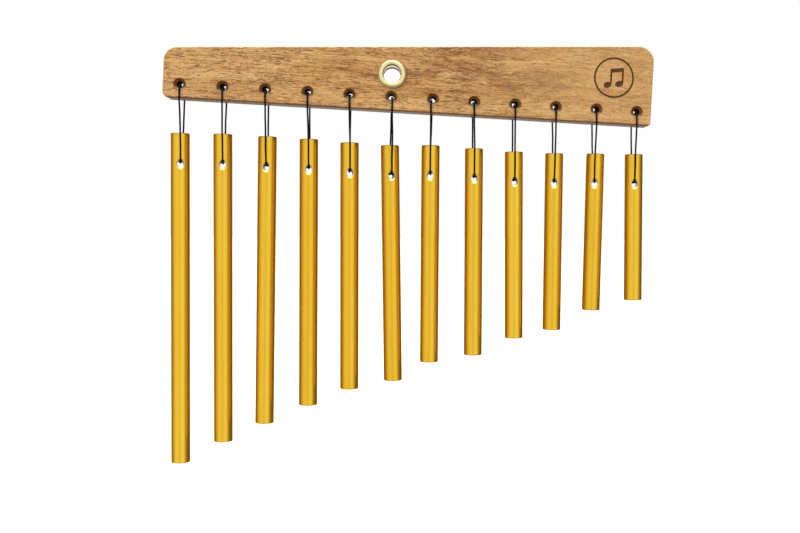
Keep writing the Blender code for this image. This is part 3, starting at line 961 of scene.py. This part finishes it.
def cord_object(name, tubes, material):
    """One mesh from several tubes, with the cord's own coordinates as attributes."""
    points, faces, along, section = [], [], [], []
    for tube_points, tube_faces, tube_along, tube_section in tubes:
        start = sum(len(p) for p in points)
        points.append(tube_points)
        faces += [tuple(start + i for i in face) for face in tube_faces]
        along.append(tube_along / MM)
        section.append(tube_section)
    mesh = mesh_of(name, np.concatenate(points), faces)
    attribute = mesh.attributes.new("cord_along", "FLOAT", "POINT")
    attribute.data.foreach_set("value", np.concatenate(along))
    attribute = mesh.attributes.new("cord_around", "FLOAT_VECTOR", "POINT")
    attribute.data.foreach_set("vector", np.concatenate(section).ravel())
    mesh.materials.append(material)
    return linked(name, mesh)


def loop_route(number):
    """The loop's line in the world, from inside the knot over the rail's bore, down the front,
    through the bar and up behind to the knot again."""
    drop = drop_of(number)
    rng = np.random.default_rng(100 + number)
    rail_turn = IN_RAIL_BORE - RAIL_BEND
    bar_turn = -drop + IN_BAR_BORE + BAR_BEND
    flat = [(BACK_AT_RAIL, KNOT_CENTRE)]
    flat += arc((BACK_AT_RAIL - RAIL_BEND, rail_turn), RAIL_BEND, 0, 90, 10)
    flat += arc((RAIL_BEND - FRONT_AT_RAIL, rail_turn), RAIL_BEND, 90, 180, 10)
    flat.append((-FRONT_AT_RAIL, -HOLE_ABOVE_EDGE - 0.8 * MM))
    flat += arc((BAR_BEND - STRAND_AT_BAR, bar_turn), BAR_BEND, 183, 270, 10)
    flat += arc((STRAND_AT_BAR - BAR_BEND, bar_turn), BAR_BEND, 270, 357, 10)
    flat.append((BACK_AT_RAIL, KNOT_CENTRE))
    line = evenly([(0.0, y, z) for y, z in flat], ROUTE_STEP)
    # The bar's hole is turned, so the loop turns about its own length from the rail down to the bar,
    # the front strand evenly and the back one only close above the bar.
    depth = np.clip((-HOLE_ABOVE_EDGE - line[:, 2]) / (-HOLE_ABOVE_EDGE - bar_turn), 0, 1)
    angle = twist_of(number) * np.where(line[:, 1] > 0, depth**3, depth)
    line[:, 0], line[:, 1] = -line[:, 1] * np.sin(angle), line[:, 1] * np.cos(angle)
    # A front strand may lie to one side of the rail's hole, where the bore lifts it.
    aside = STRAND_ASIDE.get(number, 0.0)
    in_bore = np.clip(0.5 - line[:, 1] / (2 * RAIL_HALF), 0, 1) * (line[:, 2] > -HOLE_ABOVE_EDGE)
    on_front = np.where(line[:, 2] > -HOLE_ABOVE_EDGE, in_bore, (1 - depth) * (line[:, 1] < 0))
    line[:, 0] += aside * on_front
    sideways = np.minimum(abs(aside) * in_bore, 0.9 * abs(IN_RAIL_BORE))
    line[:, 2] += in_bore * (abs(IN_RAIL_BORE) - np.sqrt(IN_RAIL_BORE**2 - sideways**2))
    # Where it is bunched up behind the bore's front lip, the cord's middle lies higher.
    from_lip = np.linalg.norm(line[:, 1:] - np.array(RAIL_LIP), axis=1)
    line[:, 2] += RISE_AT_RAIL * np.exp(-((from_lip / BEND_REACH) ** 2))
    # Between the rail and the bar, each strand wanders a little to the side, as a soft cord does.
    share = np.clip((line[:, 2] - bar_turn) / (-HOLE_ABOVE_EDGE - bar_turn), 0, 1)
    for back in (False, True):
        waves = sum(rng.uniform(-1, 1) / k * np.sin(math.pi * k * share) for k in (1, 2, 3, 5, 7))
        chosen = (line[:, 1] > 0) == back
        line[:, 0] += np.where(chosen, STRAND_WANDER * waves, 0)
    matrix = loop_matrix(number)
    return [matrix @ Vector(p) for p in line]


def make_knot(number, black):
    """Three tight wraps round the two ends, whose cut tails stick out above and to one side."""
    rng = np.random.default_rng(200 + number)
    matrix = loop_matrix(number)
    wraps, rise, coil = 3.2, 0.86 * MM, 0.78 * MM
    tube = 0.93 * PLY_CREST
    start = rng.uniform(0, math.tau)
    helix = []
    for t in np.linspace(0, 1, 110):
        tuck = min(1.0, 9 * t + 0.25, 9 * (1 - t) + 0.25)  # the ends dive under the wraps
        angle = start + math.tau * wraps * t
        out, height = coil * tuck, KNOT_CENTRE + wraps * rise * (0.5 - t)
        helix.append(Vector((out * math.cos(angle), BACK_AT_RAIL + out * math.sin(angle), height)))
    tubes = [cord_tube([matrix @ p for p in helix], tube, KNOT_STEP, KNOT_SIDES)]
    side = rng.choice((-1, 1))
    for lean, climb, root_height in ((0.45 * side, 1.0, 0.9 * MM), (-1.0 * side, -0.12, -0.45 * MM)):
        reach = rng.uniform(2.2, 3.2) * MM
        lean, climb = lean + rng.uniform(-0.15, 0.15), climb + rng.uniform(-0.05, 0.05)
        root = Vector((0.3 * MM * np.sign(lean), BACK_AT_RAIL + 0.35 * MM, KNOT_CENTRE + root_height))
        tail = []
        for t in np.linspace(0, 1, 16):
            bowed = reach * (0.4 * t + 0.6 * t * t)
            tail.append(root + Vector((lean * bowed, 0.3 * bowed, climb * reach * t)))
        ends, phase = (0.6, 0.75), rng.uniform(0, 6)
        tubes.append(cord_tube([matrix @ p for p in tail], tube, KNOT_STEP, KNOT_SIDES, ends, phase))
    knot = cord_object(f"tied_knot_{number:02d}", tubes, black)
    knot.data.set_sharp_from_angle(angle=math.radians(70))
    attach(knot, f"cord_{number:02d}_upper")
    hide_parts(f"knot_{number:02d}")
    return knot


def nearest(line, place):
    """The line's point that is nearest to a place."""
    return min(line, key=lambda p: (p - place).length)


def make_loop(number, black, knot):
    line = loop_route(number)
    matrix = loop_matrix(number)
    into_rail = nearest(line, matrix @ Vector((0, *RAIL_LIP)))
    front, angle = BAR_BEND - STRAND_AT_BAR, twist_of(number)
    bar_lip = Vector((-front * math.sin(angle), front * math.cos(angle), IN_BAR_BORE - drop_of(number)))
    into_bar = nearest(line, matrix @ bar_lip)
    # A strand that lies aside in the bore has less room to spread.
    room = 1 - abs(STRAND_ASIDE.get(number, 0.0)) / (RAIL_BORE - PLY_CREST)
    bends = ((into_rail, SPREAD_AT_RAIL * room, BUNCHED_AT_RAIL * room), (into_bar, SPREAD_AT_BAR, 0.0))
    tube = cord_tube(line, PLY_CREST, ROUTE_STEP, CORD_SIDES, bends=bends)
    loop = cord_object(f"cord_twisted_{number:02d}", [tube], black)
    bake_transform(loop)
    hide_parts(f"cord_top_{number:02d}", f"cord_loop_{number:02d}")


# ---------------------------------------------------------------- studio
FLOOR_Z = CAD_BOX[0].z - 60 * MM
FLOOR_RADIUS = 12.0
FLOOR_STOPS = [(0.3, (0.90, 0.90, 0.90)), (0.7, (0.93, 0.93, 0.93))]


def make_floor():
    made, tree, shader = new_material("studio_floor")
    grain = tree.noise(tree.node("TexCoord").outputs["Object"], 40.0, 3.0, 0.5)
    shader("Base Color", tree.ramp(grain, FLOOR_STOPS))
    shader("Roughness", 0.9)
    shader("Specular IOR Level", 0.1)
    rim = [(x, y, 0) for x, y in arc((0, 0), FLOOR_RADIUS, 0, 360, RING_STEPS)[:-1]]
    mesh = mesh_of("studio_floor", rim, [tuple(range(len(rim)))])
    mesh.materials.append(made)
    floor = linked("studio_floor", mesh, Matrix.Translation((0, 0, FLOOR_Z)))
    # The pieces take the dim studio's light from below, and not the white floor's.
    floor.visible_glossy = False
    floor.visible_diffuse = False


# Brightness of the studio round the object by azimuth in degrees: 0 is towards the player, 90 towards +X.
STUDIO_BANDS = (
    (-180, 0.95), (-168, 0.95), (-162, 0.28), (-145, 0.20), (-122, 0.34), (-100, 0.44), (-82, 0.60),
    (-62, 0.85), (-45, 0.94), (-14, 0.95), (-4, 0.78), (2, 0.78), (12, 0.99), (42, 1.03), (54, 0.90),
    (72, 0.50), (92, 0.27), (115, 0.17), (162, 0.28), (168, 0.95), (180, 0.95),
)
OVERHEAD = 2.2
BELOW = 0.40
# Lights: place, what it points at, diameter in metres, and power in watts.
KEY_LIGHT = ((-0.7, -1.0, 0.9), (0, 0, -0.06), 0.55, 6.0)
TOP_LIGHT = ((0.1, 0.0, 1.6), (0, 0, -0.1), 1.4, 10.0)


def make_world():
    world = bpy.data.worlds.new("studio")
    bpy.context.scene.world = world
    world.use_nodes = True
    tree = Tree(world.node_tree)
    x, y, z = tree.split(tree.node("TexCoord").outputs["Generated"])
    azimuth = tree.math("ARCTAN2", x, tree.times(y, -1.0))
    share = tree.add(tree.times(azimuth, 1 / math.tau), 0.5)
    stops = [((angle + 180) / 360, level / 2) for angle, level in STUDIO_BANDS]
    band = tree.times(tree.ramp(share, stops), 2.0)
    overhead = tree.soft_step(z, 0.55, 0.88)
    below = tree.soft_step(z, -0.4, -0.85)
    level = tree.add(tree.times(band, tree.minus(1.0, overhead)), tree.times(overhead, OVERHEAD))
    level = tree.add(tree.times(level, tree.minus(1.0, below)), tree.times(below, BELOW))
    # The dim parts of the studio are warm, and the camera sees plain white.
    lit = tree.soft_step(level, 0.3, 0.95)
    green = tree.times(level, tree.add(tree.times(lit, 0.24), 0.76))
    blue = tree.times(level, tree.add(tree.times(lit, 0.5), 0.5))
    seen = tree.node("LightPath").outputs["Is Camera Ray"]
    color = tree.mix(seen, tree.xyz(level, green, blue), (1.0, 1.0, 1.0))
    background = world.node_tree.nodes["Background"]
    tree.feed(background.inputs["Color"], color)
    background.inputs["Strength"].default_value = 1.0


def make_light(name, at, target, size, power, glossy=True):
    data = bpy.data.lights.new(name, "AREA")
    data.shape = "DISK"
    data.size = size
    data.energy = power
    light = linked(name, data)
    light.location = at
    light.rotation_euler = (Vector(target) - Vector(at)).to_track_quat("-Z", "Y").to_euler()
    light.visible_glossy = glossy


def make_studio():
    make_floor()
    make_world()
    bpy.context.scene.view_settings.view_transform = "Standard"
    make_light("key", *KEY_LIGHT, glossy=False)
    make_light("top", *TOP_LIGHT)


def main():
    make_camera()
    black = cord_material()
    for number in NUMBERS:
        make_loop(number, black, make_knot(number, black))
    make_rail(
        wood_material(),
        cut_wood_material("drilled_wood", WOOD_CUT_AND_SHADE, SOOT_AND_SHADE_IN_HOLES, 0.9, drilled=True),
        cut_wood_material("burned_wood", WOOD_BURNT, SOOT_IN_MARK, 0.75),
    )
    make_eyelet(brass_material())
    gold, bare = bar_material(), bare_metal_material()
    for number in NUMBERS:
        make_bar(number, gold, bare)
    make_studio()


main()
